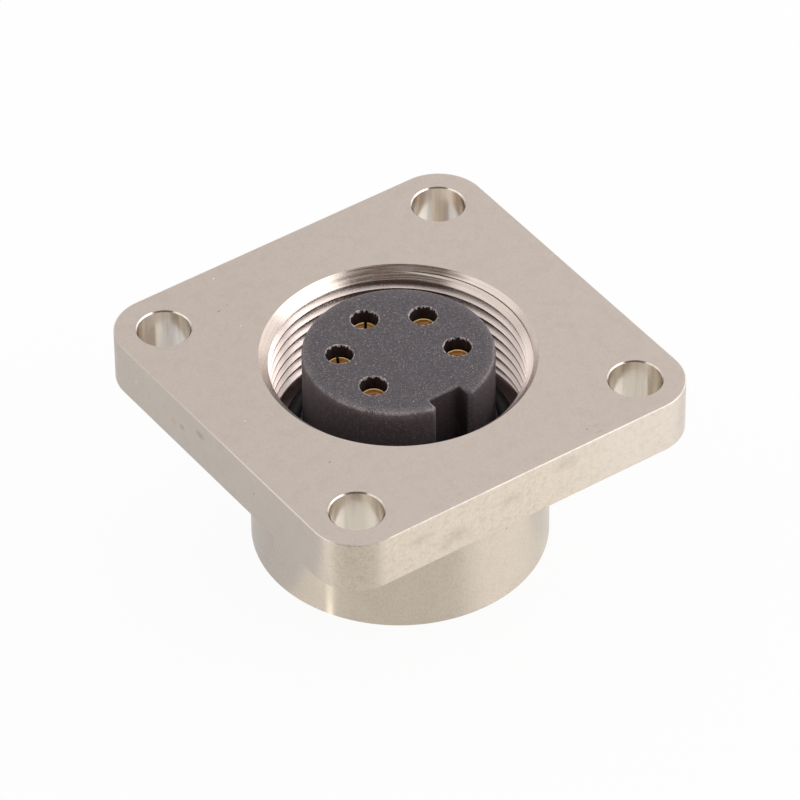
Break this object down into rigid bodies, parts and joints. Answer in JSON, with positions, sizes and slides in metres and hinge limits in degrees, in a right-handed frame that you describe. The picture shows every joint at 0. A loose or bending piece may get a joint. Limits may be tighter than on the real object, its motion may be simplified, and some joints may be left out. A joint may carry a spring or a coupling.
{
  "type": "square flange receptacle",
  "caption": "Female circular connector receptacle: square screw-down flange, round barrel, internally threaded mouth and keyed black insert with slotted gold sockets.",
  "frame": {"origin": "centre of the barrel's rear rim, on which the receptacle stands", "axes": "+Z along the barrel out of the mating side, X and Y along the flange's sides, the insert's keyway towards -Y"},
  "size_m": [0.026, 0.026, 0.0139],
  "materials": {
    "nickel_plate": "satin nickel plating on turned brass",
    "moulded_insert": "matt black glass-filled moulding with pale specks",
    "gold_plate": "gold plating on turned copper alloy",
    "seal_rubber": "smooth black rubber",
    "spring_steel": "phosphated spring steel"
  },
  "bodies": {
    "root": {"shell": "nickel_plate", "contact_insert": "moulded_insert", "contact_retainer": "moulded_insert", "retaining_ring": "spring_steel", "interface_seal": "seal_rubber", "insert_seal": "seal_rubber", "contact_1": "gold_plate", "contact_2": "gold_plate", "contact_3": "gold_plate", "contact_4": "gold_plate", "contact_5": "gold_plate"}
  },
  "joints": []
}
